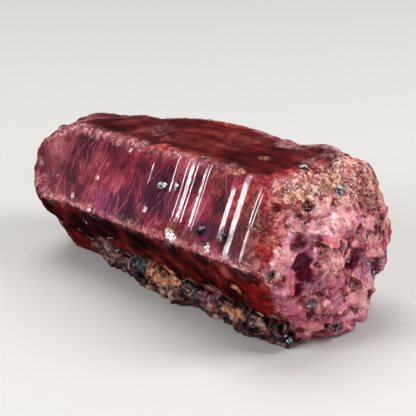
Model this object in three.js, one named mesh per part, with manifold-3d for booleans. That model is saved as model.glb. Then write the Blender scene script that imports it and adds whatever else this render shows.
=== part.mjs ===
// A raw ruby: one six-sided corundum crystal that narrows towards its far end, lying on a prism face,
// with a rind of the mica-rich rock it grew in still stuck along its lower front edge.
//
// Frame: millimetres, +Z up. +X runs along the crystal's long axis to the thick, broken end, and -Y is
// the front. The origin is under the middle of the whole object, on the surface that it rests on.

import * as THREE from "three";
import { ImprovedNoise } from "three/addons/math/ImprovedNoise.js";
import { mergeVertices } from "three/addons/utils/BufferGeometryUtils.js";
import Module from "manifold-3d";

// The long axis lies this high, and every reach below is measured from it, in millimetres.
const AXIS_HEIGHT = 9.7;

// The six prism faces, in order round the axis. facing is the way a face looks, in degrees from +Y towards
// +Z; reach is its distance from the axis halfway along; lean is how fast it closes in on the axis towards
// the far end, in degrees.
const PRISM_FACES = [
  { facing: 90, reach: 9.7, lean: 4.7 }, // top
  { facing: 152.3, reach: 9.0, lean: 6.5 }, // upper front, with the growth steps
  { facing: 210.8, reach: 7.95, lean: 2.4 }, // lower front, which overhangs the rind
  { facing: 270, reach: AXIS_HEIGHT, lean: 0 }, // the face it lies on
  { facing: 323, reach: 8.2, lean: 2.7 }, // lower back
  { facing: 387, reach: 8.7, lean: 4.6 }, // upper back
];
const LOWER_FRONT = 2;

// The planes that close the two ends: the way each looks, and its distance from the middle of the axis.
const END_FACES = [
  { toward: [1, 0, 0.02], reach: 22.5 }, // the break across the thick end
  { toward: [0.73, -0.14, 0.67], reach: 20.3 }, // its crumbled upper rim
  { toward: [0.74, -0.39, 0.55], reach: 20.3 }, // its front rim, above
  { toward: [0.85, -0.45, -0.27], reach: 21.0 }, // its front rim, below
  { toward: [0.78, 0, -0.62], reach: 22.9 }, // its lower rim
  { toward: [0.86, 0.42, -0.3], reach: 23.0 }, // its back rim, below
  { toward: [0.84, 0.46, 0.28], reach: 23.5 }, // its back rim, above
  { toward: [-1, 0, 0.05], reach: 22.0 }, // the far end
  { toward: [-0.6, 0, 0.8], reach: 17.7 }, // its upper corner
  { toward: [-0.8, -0.5, 0.3], reach: 23.2 }, // its front corner, above
  { toward: [-0.8, -0.4, -0.45], reach: 19.9 }, // its front corner, below
  { toward: [-0.8, 0.1, -0.6], reach: 21.6 }, // its lower corner
  { toward: [-0.8, 0.55, -0.1], reach: 20.4 }, // its back corner
  { toward: [-0.35, 0.55, 0.76], reach: 17.0 }, // its upper back corner
];

const PRISM_EDGE_WEAR = 0.5; // how far from a prism edge the wear begins to round it
const END_EDGE_WEAR = 1.8; // the same at the ends, which are worn more

// Relief: waves across the prism faces, and the lumps of the two rough ends.
const FACE_WAVES = { size: 7, height: 0.12 };
const END_LUMPS = { size: 4.2, height: 0.6 };
const END_GRAIN = { size: 1.7, height: 0.3 };
const LUMPS_START = 16; // distance along the axis from which the lumps fade in
const LUMPS_FULL = 19.5;
const SEAT_DEPTH = 0.3; // how much is worn off flat where the crystal lies

// Chips out of the surface and swellings on it (a depth below zero): where, how wide and how deep.
const CHIPS = [
  { at: [12.8, 5.2, 20.4], radius: 2.8, depth: 0.9 }, // the top back edge
  { at: [-16.5, 4.2, 18.2], radius: 4.5, depth: 0.5 },
  { at: [0, 5.2, 19.3], radius: 9.0, depth: -0.9 },
  { at: [21.2, -6.1, 13.6], radius: 2.2, depth: 0.9 }, // hollows in the break
  { at: [22.0, 3.6, 15.2], radius: 2.6, depth: 0.6 },
  { at: [21.8, 6.5, 4.6], radius: 2.6, depth: 0.7 },
  { at: [-3.0, 9.6, 11.0], radius: 5.5, depth: 0.6 }, // the back
  { at: [9.0, 8.8, 3.4], radius: 4.0, depth: 0.6 },
];

// The blank that the crystal is carved from: a capsule, whose rings and columns carry over to the crystal.
const BLANK = { length: 22, capRings: 18, columns: 66, bodyRings: 24 };
const BLANK_REACH = 40; // further from the blank's centre line than any of the surface
const SEARCH_STEPS = 36; // halvings of that reach, to find where the surface is
const SIDES = PRISM_FACES.length;

// The rind: a low band along the foot of the lower front face.
const RIND = {
  from: -11.5,
  to: 16.5,
  taper: 2.5, // length of each rounded end
  height: 1.9, // of its centre line, above the ground
  halfTall: 2.7, // measured along the face
  halfThick: 1.6, // measured out from the face
  swelling: { at: 0, reach: 9, height: 0.5 }, // where it is thickest
  rings: 8,
  columns: 18,
  bodyRings: 34,
};
const RIND_LUMPS = { size: 3.4, height: 1.0 };
const RIND_GRAIN = { size: 1.4, height: 0.35 };
const RIND_GAP = 0.3; // clearance between the rind and the crystal
const HALF_SPACE = 60; // a block this big stands for everything above the ground

const wasm = await Module();
wasm.setup();
const noise = new ImprovedNoise();

// One octave of relief at point p: waves of the given size and height, in millimetres.
function relief(p, { size, height }, layer) {
  return height * noise.noise(p.x / size + layer, p.y / size, p.z / size);
}

// The larger of two distances, rounded over where they are within wear of each other.
function wornMax(a, b, wear) {
  const overlap = Math.max(wear - Math.abs(a - b), 0) / wear;
  return Math.max(a, b) + (overlap * overlap * wear) / 4;
}

const prismPlanes = PRISM_FACES.map(({ facing, reach, lean }) => {
  const angle = THREE.MathUtils.degToRad(facing);
  const tilt = THREE.MathUtils.degToRad(lean);
  const normal = new THREE.Vector3(
    -Math.sin(tilt),
    Math.cos(tilt) * Math.cos(angle),
    Math.cos(tilt) * Math.sin(angle),
  );
  return { normal, reach: reach * Math.cos(tilt), wear: PRISM_EDGE_WEAR };
});

const endPlanes = END_FACES.map(({ toward, reach }) => ({
  normal: new THREE.Vector3(...toward).normalize(),
  reach,
  wear: END_EDGE_WEAR,
}));

const axisMiddle = new THREE.Vector3(0, 0, AXIS_HEIGHT);

// How far p is outside the bare planes: below zero inside the crystal.
function outsidePlanes(p) {
  const from = p.clone().sub(axisMiddle);
  return [...prismPlanes, ...endPlanes].reduce(
    (furthest, { normal, reach, wear }) => wornMax(furthest, normal.dot(from) - reach, wear),
    -BLANK_REACH,
  );
}

// How high the natural surface stands over the bare planes at p.
function surfaceRelief(p) {
  const rough = THREE.MathUtils.smoothstep(Math.abs(p.x), LUMPS_START, LUMPS_FULL);
  let height = relief(p, FACE_WAVES, 0);
  height += rough * (relief(p, END_LUMPS, 11) + relief(p, END_GRAIN, 23));
  for (const { at, radius, depth } of CHIPS) {
    const away = p.distanceTo(new THREE.Vector3(...at)) / radius;
    height -= depth * Math.max(1 - away * away, 0);
  }
  return height;
}

// The angle of the corner between prism face i and the next one, seen from the axis at x.
function cornerAngle(i, x) {
  const a = prismPlanes[i];
  const b = prismPlanes[(i + 1) % SIDES];
  const reachA = a.reach - a.normal.x * x;
  const reachB = b.reach - b.normal.x * x;
  const cross = a.normal.y * b.normal.z - a.normal.z * b.normal.y;
  const y = (reachA * b.normal.z - reachB * a.normal.z) / cross;
  const z = (a.normal.y * reachB - b.normal.y * reachA) / cross;
  return Math.atan2(z, y);
}

// Makes a turn round the axis (0 to 1) into an angle, so that whole columns of the blank meet every corner.
function angleAt(turn, x) {
  const along = (turn * SIDES) % SIDES;
  const side = Math.floor(along);
  const start = cornerAngle(side, x);
  const sweep = (cornerAngle((side + 1) % SIDES, x) - start + 2 * Math.PI) % (2 * Math.PI);
  return start + sweep * (along - side);
}

// The surface point met by going out from start along direction, for a crystal grown by extra millimetres.
function surfacePoint(start, direction, extra) {
  let inside = 0;
  let outside = BLANK_REACH;
  for (let step = 0; step < SEARCH_STEPS; step++) {
    const middle = (inside + outside) / 2;
    if (outsidePlanes(start.clone().addScaledVector(direction, middle)) < extra) inside = middle;
    else outside = middle;
  }
  const p = start.clone().addScaledVector(direction, inside);
  return p.addScaledVector(direction, surfaceRelief(p));
}

// A geometry's positions alone, with shared vertices merged, as manifold-3d wants them.
function mergedPositions(geometry) {
  geometry.deleteAttribute("normal");
  geometry.deleteAttribute("uv");
  return mergeVertices(geometry, 1e-5);
}

// A capsule of radius 1 lying along X, whose every vertex is then moved by place(raw, spineX).
function shapedCapsule({ length, capRings, columns, bodyRings }, place) {
  const blank = mergedPositions(
    new THREE.CapsuleGeometry(1, length, capRings, columns, bodyRings),
  );
  blank.rotateZ(-Math.PI / 2);
  const position = blank.getAttribute("position");
  for (let i = 0; i < position.count; i++) {
    const raw = new THREE.Vector3().fromBufferAttribute(position, i);
    const spineX = THREE.MathUtils.clamp(raw.x, -length / 2, length / 2);
    const p = place(raw, spineX);
    position.setXYZ(i, p.x, p.y, p.z);
  }
  return blank;
}

// The crystal: the blank pushed out from its own centre line until it meets the crystal's faces.
function crystalGeometry(extra = 0) {
  return shapedCapsule(BLANK, (raw, spineX) => {
    const sideways = Math.hypot(raw.y, raw.z);
    const turn = (Math.atan2(raw.z, raw.y) / (2 * Math.PI) + 1) % 1;
    const angle = angleAt(turn, spineX);
    const direction = new THREE.Vector3(
      raw.x - spineX,
      sideways * Math.cos(angle),
      sideways * Math.sin(angle),
    ).normalize();
    const p = surfacePoint(new THREE.Vector3(spineX, 0, AXIS_HEIGHT), direction, extra);
    p.z = Math.max(p.z - SEAT_DEPTH, -extra);
    return p;
  });
}

function toSolid(geometry) {
  return new wasm.Manifold(
    new wasm.Mesh({
      numProp: 3,
      vertProperties: geometry.getAttribute("position").array,
      triVerts: new Uint32Array(geometry.index.array),
    }),
  );
}

function toGeometry(solid) {
  const { vertProperties, triVerts } = solid.getMesh();
  return new THREE.BufferGeometry()
    .setAttribute("position", new THREE.BufferAttribute(vertProperties, 3))
    .setIndex(new THREE.BufferAttribute(triVerts, 1));
}

// The rind's centre line at x: a point on the lower front face, at the rind's own height.
function rindCentre(x) {
  const { normal, reach } = prismPlanes[LOWER_FRONT];
  const rise = RIND.height - AXIS_HEIGHT;
  return new THREE.Vector3(x, (reach - normal.x * x - normal.z * rise) / normal.y, RIND.height);
}

// The rind: a lumpy band, cut flat below and hollowed to fit round the crystal.
function rindGeometry() {
  const length = RIND.to - RIND.from;
  const out = prismPlanes[LOWER_FRONT].normal;
  const along = new THREE.Vector3(1, 0, 0);
  const up = new THREE.Vector3().crossVectors(along, out).normalize();
  const blank = { length, capRings: RIND.rings, columns: RIND.columns, bodyRings: RIND.bodyRings };
  const band = shapedCapsule(blank, (raw, spineX) => {
    const x = spineX + (RIND.from + RIND.to) / 2;
    const away = (x - RIND.swelling.at) / RIND.swelling.reach;
    const halfThick = RIND.halfThick + RIND.swelling.height * Math.max(1 - away * away, 0);
    const p = rindCentre(x)
      .addScaledVector(along, (raw.x - spineX) * RIND.taper)
      .addScaledVector(out, raw.y * halfThick)
      .addScaledVector(up, raw.z * RIND.halfTall);
    const skin = relief(p, RIND_LUMPS, 37) + relief(p, RIND_GRAIN, 51);
    return p.addScaledVector(out, raw.y * skin).addScaledVector(up, raw.z * skin);
  });
  const block = new THREE.BoxGeometry(HALF_SPACE, HALF_SPACE, HALF_SPACE);
  const above = toSolid(mergedPositions(block.translate(0, 0, HALF_SPACE / 2)));
  const hollow = toSolid(crystalGeometry(RIND_GAP));
  return toGeometry(toSolid(band).intersect(above).subtract(hollow));
}

const ruby = new THREE.MeshStandardMaterial({ color: 0x7a1f33, roughness: 0.45, metalness: 0 });
const rock = new THREE.MeshStandardMaterial({ color: 0x6b4b3a, roughness: 0.85, metalness: 0 });

const crystal = new THREE.Mesh(crystalGeometry(), ruby);
crystal.name = "ruby_crystal";
const rind = new THREE.Mesh(rindGeometry(), rock);
rind.name = "matrix_rind";

// Moves both pieces so that the origin is under the middle of the whole object.
const object = new THREE.Group();
object.add(crystal, rind);
const middle = new THREE.Box3().setFromObject(object, true).getCenter(new THREE.Vector3());
for (const mesh of object.children) mesh.geometry.translate(-middle.x, -middle.y, 0);

export default object;
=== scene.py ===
import math

import bmesh
import bpy
import numpy as np
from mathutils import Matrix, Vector, noise
from mathutils.bvhtree import BVHTree


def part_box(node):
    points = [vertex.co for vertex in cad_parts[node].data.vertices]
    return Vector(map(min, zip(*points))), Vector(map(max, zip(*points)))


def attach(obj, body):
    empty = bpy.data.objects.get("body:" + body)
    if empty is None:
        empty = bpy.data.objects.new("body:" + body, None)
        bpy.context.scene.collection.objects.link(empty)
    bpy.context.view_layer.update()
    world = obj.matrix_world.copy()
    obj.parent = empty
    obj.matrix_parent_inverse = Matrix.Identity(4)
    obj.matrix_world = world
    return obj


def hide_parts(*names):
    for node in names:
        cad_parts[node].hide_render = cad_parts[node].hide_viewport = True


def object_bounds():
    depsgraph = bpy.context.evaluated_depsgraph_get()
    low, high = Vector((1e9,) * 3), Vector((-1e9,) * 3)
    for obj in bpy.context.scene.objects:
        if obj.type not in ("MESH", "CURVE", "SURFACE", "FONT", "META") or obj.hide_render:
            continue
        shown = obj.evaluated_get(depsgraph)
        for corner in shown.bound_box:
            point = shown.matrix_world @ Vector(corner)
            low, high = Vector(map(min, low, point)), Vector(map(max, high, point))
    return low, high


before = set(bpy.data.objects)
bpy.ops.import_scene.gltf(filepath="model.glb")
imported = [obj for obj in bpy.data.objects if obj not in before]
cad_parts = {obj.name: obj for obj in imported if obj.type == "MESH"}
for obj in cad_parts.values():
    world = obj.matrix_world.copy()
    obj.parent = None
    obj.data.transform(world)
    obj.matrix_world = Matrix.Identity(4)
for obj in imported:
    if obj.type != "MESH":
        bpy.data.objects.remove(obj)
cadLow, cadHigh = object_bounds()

mm = 0.001


# hex colour to linear red, green, blue, alpha
def linear(code):
    channels = [int(code[i:i + 2], 16) / 255 for i in (1, 3, 5)]
    return [c / 12.92 if c <= 0.04045 else ((c + 0.055) / 1.055) ** 2.4 for c in channels] + [1.0]


# adds a node: its inputs are values, sockets to link, or nodes whose first output is linked, and settings
# are its own properties. Map Range takes its value at 0, from at 1 and 2, to at 3 and 4; Mix takes its
# factor at 0, numbers at 2 and 3, colours at 6 and 7.
def addNode(tree, kind, inputs=None, **settings):
    made = tree.nodes.new("ShaderNode" + kind)
    for name, value in settings.items():
        setattr(made, name, value)
    for name, value in (inputs or {}).items():
        if isinstance(value, bpy.types.Node):
            value = value.outputs[0]
        if isinstance(value, bpy.types.NodeSocket):
            tree.links.new(value, made.inputs[name])
        else:
            made.inputs[name].default_value = value
    return made


# gives a colour ramp its stops, each a position and a hex colour, and returns its colour socket
def setStops(ramp, stops):
    band = ramp.color_ramp
    while len(band.elements) < len(stops):
        band.elements.new(0.5)
    for element, (position, code) in zip(band.elements, stops):
        element.position = position
        element.color = linear(code)
    return ramp.outputs["Color"]


def newMaterial(name):
    made = bpy.data.materials.new(name)
    made.use_nodes = True
    made.node_tree.nodes.clear()
    return made, made.node_tree


# where each point of a material is on its piece, in mm
def placeInMm(tree):
    place = addNode(tree, "TexCoord").outputs["Object"]
    return addNode(tree, "VectorMath", {0: place, "Scale": 1 / mm}, operation="SCALE")


# how far a value is from a middle one, either way
def offMiddle(tree, value, middle):
    above = addNode(tree, "Math", {0: value, 1: middle}, operation="SUBTRACT")
    return addNode(tree, "Math", {0: above}, operation="ABSOLUTE")


# 0 before start, 1 after end, smooth between
def fade(values, start, end):
    t = np.clip((values - start) / (end - start), 0, 1)
    return t * t * (3 - 2 * t)


# smooth noise of about -1 to 1 at each point, with waves sizeMm across
def waves(points, sizeMm, seed):
    return np.array([noise.noise(p) for p in (points / sizeMm + seed * 17.3).tolist()])


# a number of 0 to 1 for each grain, the same all over it
def perGrain(centre, salt):
    mixed = np.sin(centre @ np.array([12.99, 78.23, 37.72]) + salt * 5.1) * 437.58
    return mixed - np.floor(mixed)


# flat tilted facets about sizeMm across: their height in mm, each one's tone, and how far each point
# is from its facet's edge
def facets(points, sizeMm, seed, step, tilt, softMm):
    shift = seed * 11.7
    found = [noise.voronoi(p) for p in (points / sizeMm + shift).tolist()]
    gap = np.array([f[0][1] - f[0][0] for f in found]) * sizeMm
    centres = [(np.array([f[1][k] for f in found]) - shift) * sizeMm for k in (0, 1)]
    heights = []
    for centre in centres:
        slope = np.stack([perGrain(centre, salt) for salt in (2, 3, 4)], axis=1) - 0.5
        heights.append(step * (perGrain(centre, 1) - 0.5) + tilt * ((points - centre) * slope).sum(axis=1))
    share = 0.5 + 0.5 * fade(gap, 0, softMm)
    return heights[0] * share + heights[1] * (1 - share), perGrain(centres[0], 9), gap


# 1 in the middle of the nearest patch and 0 outside them all; a patch is x, y, z and its half sizes in mm
def patches(points, places, ragged):
    found = np.zeros(len(points))
    for place in places:
        away = np.linalg.norm((points - place[:3]) / place[3:6], axis=1)
        found = np.maximum(found, 1 - fade(away + ragged, 0.45, 1.25))
    return found


# moves the points outward round each place: a place is x, y, z, its reach and how far, in mm
def swell(points, normals, places):
    moved = points.copy()
    for x, y, z, reach, out in places:
        away = np.linalg.norm(points - (x, y, z), axis=1)
        moved += normals * (out * (1 - fade(away, 0, reach)))[:, None]
    return moved


# averages a value over neighbouring vertices
def spread(values, edges, rounds):
    count = np.bincount(edges.ravel(), minlength=len(values)) + 1.0
    for _ in range(rounds):
        total = values + np.bincount(edges[:, 0], values[edges[:, 1]], len(values))
        total += np.bincount(edges[:, 1], values[edges[:, 0]], len(values))
        values = total / count
    return values


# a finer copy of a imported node: every edge cut, and the plain facets' edges smoothed away
def fineCopy(node, name, cuts, rounds):
    shape = bmesh.new()
    shape.from_mesh(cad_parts[node].data)
    bmesh.ops.remove_doubles(shape, verts=shape.verts, dist=0.002 * mm)
    bmesh.ops.subdivide_edges(shape, edges=shape.edges, cuts=cuts, use_grid_fill=True)
    for _ in range(rounds):
        for factor in (0.5, -0.44):  # out again after each smoothing, so that the ends don't shrink
            axes = {"use_axis_x": True, "use_axis_y": True, "use_axis_z": True}
            bmesh.ops.smooth_vert(shape, verts=shape.verts, factor=factor, **axes)
    bmesh.ops.recalc_face_normals(shape, faces=shape.faces)
    return addObject(shape, name, smooth=True)


# makes a bmesh an object of the scene
def addObject(shape, name, smooth):
    mesh = bpy.data.meshes.new(name)
    shape.to_mesh(mesh)
    shape.free()
    mesh.polygons.foreach_set("use_smooth", [smooth] * len(mesh.polygons))
    made = bpy.data.objects.new(name, mesh)
    bpy.context.scene.collection.objects.link(made)
    return made


# a mesh's points and normals, in mm, and its edges
def readMesh(mesh):
    points = np.empty(len(mesh.vertices) * 3, np.float32)
    mesh.vertices.foreach_get("co", points)
    normals = np.empty(len(mesh.vertices) * 3, np.float32)
    mesh.vertex_normals.foreach_get("vector", normals)
    edges = np.empty(len(mesh.edges) * 2, np.int32)
    mesh.edges.foreach_get("vertices", edges)
    points, normals = [values.reshape(-1, 3).astype(float) for values in (points, normals)]
    return points / mm, normals, edges.reshape(-1, 2)


def writeMesh(mesh, points, paint):
    mesh.vertices.foreach_set("co", (points * mm).astype(np.float32).ravel())
    for name, values in paint.items():
        layer = mesh.attributes.new(name, "FLOAT", "POINT")
        layer.data.foreach_set("value", values.astype(np.float32))
    mesh.update()


# a 100 mm macro lens, looking down on the crystal's front from the side of its broken end
viewpoint = {
    "lensMm": 100,
    "azimuth": 40.7,
    "elevation": 24.6,
    "distanceMm": 138.5,
    "aimMm": (1.9, -0.1, 0.3),  # from the middle of the crystal's box
}


def placeCamera():
    camera = bpy.data.objects.new("camera", bpy.data.cameras.new("camera"))
    bpy.context.scene.collection.objects.link(camera)
    turn, rise = math.radians(viewpoint["azimuth"]), math.radians(viewpoint["elevation"])
    back = Vector((math.sin(turn) * math.cos(rise), -math.cos(turn) * math.cos(rise), math.sin(rise)))
    target = (cadLow + cadHigh) / 2 + Vector(viewpoint["aimMm"]) * mm
    camera.location = target + back * viewpoint["distanceMm"] * mm
    camera.rotation_mode = "QUATERNION"
    camera.rotation_quaternion = (-back).to_track_quat("-Z", "Y")
    camera.data.lens = viewpoint["lensMm"]
    camera.data.clip_start = 1 * mm
    camera.data.clip_end = 10
    bpy.context.scene.camera = camera


placeCamera()
print("camera placed")


crystal = {
    # the way each side face looks, in degrees round the long axis from +Y towards +Z
    "facing": {"top": 90, "front": 152.3, "foot": 210.8, "seat": 270, "lowBack": 323, "highBack": 27},
    "leanDegrees": 4.5,  # how far the side faces close in on the axis
    "breakStartMm": 15.0,  # x where the broken end begins
    "facetMm": 3.2,  # facets of the break, each stepped and tilted
    "facetStep": 0.55,
    "facetTilt": 0.65,
    "chipMm": 1.25,  # smaller facets on those
    "chipStep": 0.24,
    "chipTilt": 0.75,
    "gritMm": 0.55,  # crumbled crystal along the upper rim and on worn edges
    "gritStep": 0.22,
    "wearMm": 0.40,  # how deep the edges are worn
    "sunkMm": 0.15,  # how far the break is set back
    "streakMm": 0.03,  # relief of the side faces: faint lines across them, low waves, dents, dimples
    "waveMm": 0.05,
    "dentMm": 0.25,
    "dimpleMm": 0.07,
    "recessMm": 0.12,  # how deep a recess is that gets the full shade of one
    "edgeRounds": 14,  # rounds of averaging that set how wide the worn edges are
    "broadRounds": 40,  # the same for which way is outward at a swell
    "hollowRounds": 30,  # and for telling recesses from crests
    "proudMm": 0.22,  # how far the relief may stand outside the plain crystal's box
    "hollowMm": 0.7,  # depth of the dark hollows of the break
    "crusted": [(18.9, 5.5, 20.1, 2.0, 2.8, 1.7)],  # where the crust of the break reaches over the top
    "swells": [  # where the real stone is fuller than the plain crystal: x, y, z, reach and how far
        (-20.5, -7.8, 9.1, 7.0, 0.6), (-18.5, -3.7, 1.5, 5.0, 0.7), (-20.6, -5.0, 14.0, 5.0, 0.5),
        (21.8, 5.5, 3.2, 6.0, 1.2), (20.2, 6.2, 18.4, 4.5, 0.9), (13.0, 4.2, 20.1, 4.5, 0.8),
    ],
    "stepTilt": 0.085,  # slope of the growth steps in the mesh: the fine relief adds as much again
    "stepRunMm": (-1.5, 15.25),  # x between which the face slowly rises, to make up for the steps' fall
    # growth steps across the upper front face: x of each one's middle, its width, and the heights
    # between which it is glossy, in mm
    "growthSteps": [
        (-1.30, 0.09, 15.2, 17.3),
        (2.45, 0.15, 15.4, 19.2),
        (4.15, 0.12, 13.0, 19.0),
        (4.95, 0.50, 13.0, 19.2),
        (5.62, 0.12, 13.2, 19.2),
        (7.05, 0.32, 13.2, 19.4),
        (7.50, 0.11, 13.0, 19.5),
        (11.75, 0.56, 13.2, 18.3),
        (13.25, 0.70, 11.2, 20.1),
        (15.25, 0.13, 15.7, 20.3),
        (15.60, 0.13, 15.5, 20.3),
        (15.50, 0.34, 12.0, 15.2),
    ],
    # where the stone's colour changes: x, y, z and half sizes, in mm
    "zones": {
        "shade": [  # purple to black, where the stone is deepest
            (0.2, -7.6, 14.8, 3.2, 3.0, 3.2), (-4.0, -8.4, 12.2, 3.4, 2.6, 2.4),
            (3.2, -8.0, 15.0, 1.6, 2.6, 3.4), (17.4, -7.0, 17.6, 0.6, 0.8, 0.8),
        ],
        "pitShade": [  # painted shade: the hollows of the break darkened to deep red
            (20.5, -6.6, 13.8, 1.3, 1.3, 1.0), (21.2, -6.6, 12.2, 1.3, 1.5, 1.5),
            (21.3, -6.4, 10.2, 1.2, 1.2, 1.3), (22.2, 5.5, 12.2, 1.4, 1.7, 1.2),
            (19.3, -3.9, 17.2, 0.8, 1.0, 0.7), (20.9, -7.0, 8.2, 1.0, 1.0, 1.6),
            (22.2, 0.8, 9.6, 1.2, 1.6, 1.0), (22.0, 5.0, 4.6, 1.2, 1.8, 1.4),
        ],
        "glow": [  # clear red with light behind it
            (-0.8, -4.6, 18.9, 2.0, 0.9, 0.6), (18.0, -8.8, 13.2, 1.8, 2.4, 3.2),
            (17.6, -7.0, 17.9, 1.0, 1.6, 1.2), (1.5, 4.4, 20.2, 2.6, 1.2, 0.8),
            (13.6, -7.6, 17.2, 2.4, 2.0, 3.0), (9.6, -6.6, 18.0, 1.6, 1.6, 1.6),
        ],
        "ember": [  # the same, deeper
            (-2.4, -6.6, 16.6, 1.4, 1.3, 1.1), (16.6, -9.4, 6.4, 3.0, 2.8, 3.8),
            (18.0, 1.8, 20.2, 0.9, 6.0, 0.9),
        ],
        "blushAndHighlight": [  # pale pink patches, partly painted highlight where the break catches the light
            (20.3, -7.3, 14.2, 1.0, 1.6, 2.6), (19.6, -6.3, 16.2, 1.0, 1.3, 1.4),
            (19.5, -9.0, 12.6, 0.8, 1.3, 2.2), (21.0, -4.2, 6.2, 1.0, 1.2, 1.0),
            (21.0, -3.6, 15.4, 1.2, 1.8, 1.2), (20.6, -2.4, 16.6, 1.2, 1.5, 0.9),
            (22.0, -3.2, 11.0, 1.4, 1.4, 1.8), (21.5, -0.4, 15.4, 1.4, 2.8, 1.6),
            (22.3, 3.0, 4.6, 1.2, 2.4, 2.0), (21.2, -6.2, 4.2, 1.0, 1.6, 1.6),
        ],
        "violet": [
            (21.0, -5.0, 8.6, 1.2, 1.3, 1.4), (22.2, 6.0, 7.2, 1.4, 2.0, 1.8),
            (-7.0, -8.5, 11.6, 3.2, 2.0, 1.8), (8.6, -9.4, 13.0, 1.8, 1.4, 1.2),
        ],
        "gold": [  # iron-stained crumbs
            (18.0, -3.6, 18.5, 1.2, 2.0, 0.9), (18.9, 0.8, 18.6, 1.2, 2.2, 0.9),
            (11.2, -6.2, 19.8, 1.3, 0.7, 0.6), (11.6, -1.9, 20.3, 1.0, 0.8, 0.6),
            (22.2, -2.2, 4.6, 0.8, 0.9, 0.9), (18.7, -9.9, 11.3, 1.0, 0.9, 0.9),
            (20.4, -7.6, 9.0, 0.7, 0.8, 0.7),
        ],
        "brown": [(4.6, -9.4, 12.4, 0.9, 0.9, 0.8)],
        "umber": [
            (14.8, -8.4, 16.4, 1.2, 1.8, 2.6), (17.0, -8.6, 15.6, 1.3, 1.6, 2.0),
            (16.6, -9.6, 12.6, 1.0, 1.2, 1.4), (9.8, -6.8, 18.2, 1.6, 1.2, 1.6),
            (13.6, -9.6, 13.9, 1.4, 1.2, 1.6), (7.6, -9.8, 12.4, 1.6, 1.0, 0.9),
        ],
        # painted glints: white spots on the lower front edge
        "glintSpot": [
            (4.7, -10.0, 11.4, 0.75, 0.8, 0.7), (10.6, -10.6, 12.2, 0.5, 0.6, 0.8),
            (9.6, -10.9, 11.4, 0.3, 0.4, 0.4),
        ],
        # painted glints: small bright specks on the front
        "smallGlint": [
            (-9.9, -6.9, 13.4, 0.34, 0.4, 0.26), (-13.3, -8.0, 10.5, 0.26, 0.3, 0.34),
            (-9.9, -8.8, 9.8, 0.34, 0.3, 0.26), (-5.8, -5.3, 17.5, 0.24, 0.3, 0.24),
            (-0.4, -8.6, 12.6, 0.26, 0.3, 0.4), (-16.8, -7.2, 12.2, 0.24, 0.3, 0.5),
        ],
    },
}


# how far each growth step has lowered the face at x, in steps of their widths
def stepRise(x):
    return sum(np.clip(x - (step[0] - step[1] / 2), 0, step[1]) for step in crystal["growthSteps"])


# how squarely each vertex faces the way that each plain side face looks
def faceShares(normals):
    shares = {}
    for name, facing in crystal["facing"].items():
        turn = math.radians(facing)
        lean = 0 if name == "seat" else math.radians(crystal["leanDegrees"])
        way = np.array([-math.sin(lean), math.cos(turn) * math.cos(lean), math.sin(turn) * math.cos(lean)])
        shares[name] = normals @ way
    return shares


# the parts of the crystal's surface, each 0 to 1 at every point. A fade is between two places in mm, or
# between two shares of how squarely a face looks one way.
def crystalParts(points, normals, edges, shares, wander):
    x, y, z = points.T
    nearest = np.max(np.stack(list(shares.values())), axis=0)
    start = crystal["breakStartMm"]
    toFront = fade(-y, 0, 3)

    # the two ends, and the bevel beside the break
    broken = fade(normals[:, 0] + 0.10 * wander, 0.36, 0.56) * fade(x, start - 1, start + 1)
    crusted = patches(points, crystal["crusted"], 0.3 * wander)
    broken = np.maximum(broken, crusted)
    farEnd = fade(-normals[:, 0] + 0.08 * wander, 0.18, 0.45) * fade(-x, 12, 17)
    ends = np.maximum(broken, farEnd)
    bevel = fade(normals[:, 0], 0.10, 0.28) * (1 - broken) * fade(x, start - 2, start)

    # the worn edges between the side faces: less on the near half of the upper ones, more at the front's
    # lower far edge and the back's upper one, next to none beside the bevel
    onEdge = fade(1 - nearest, 0.006, 0.05) * (1 - np.maximum(ends, bevel))
    onEdge = spread(onEdge, edges, crystal["edgeRounds"])
    nearHalf = fade(x + 2 * wander, -4, 4) * fade(z, 15, 17)
    lowFront = fade(-y, 6, 9) * fade(x, -16, -8)
    highBack = fade(y, 3, 6) * fade(z, 14, 17)
    nearFront = 0.85 * fade(x + wander, 11.5, 15) * fade(z, 11.5, 13.5) * toFront
    frosted = np.clip(onEdge * (2.2 + 1.8 * lowFront + 2.5 * highBack), 0, 1) * (1 - nearFront)
    worn = frosted * (1 - 0.75 * nearHalf)
    frosted *= (1 - 0.45 * nearHalf * toFront) * (1 - 0.8 * fade(shares["foot"], 0.86, 0.95))
    frosted *= 1 - fade(x + wander, 10.5, 12.5) * fade(z, 17, 18.5) * toFront

    # sugary crust along the upper rim of the break, less of it down the back, and next to none on the
    # clearer slant towards the front
    upper = fade(z + 0.9 * wander + 0.12 * y, 15.6, 17.2)
    rim = broken * np.clip(crusted + upper + fade(y + wander, 7.5, 9.5), 0, 1)
    slant = broken * (1 - fade(x + 0.6 * wander, 17.6, 19.2)) * fade(-y, 5.2, 7.0) * fade(z, 9, 11)
    rim *= 1 - 0.85 * slant
    rim = np.maximum(rim, 0.4 * broken * fade(y + 1.5 * wander, 1, 5) * fade(z + wander, 5, 8))
    return {
        "broken": broken, "farEnd": farEnd, "ends": ends, "bevel": bevel, "frosted": frosted,
        "worn": worn, "rim": rim, "slant": slant, "onFront": fade(shares["front"], 0.93, 0.98),
    }


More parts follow.
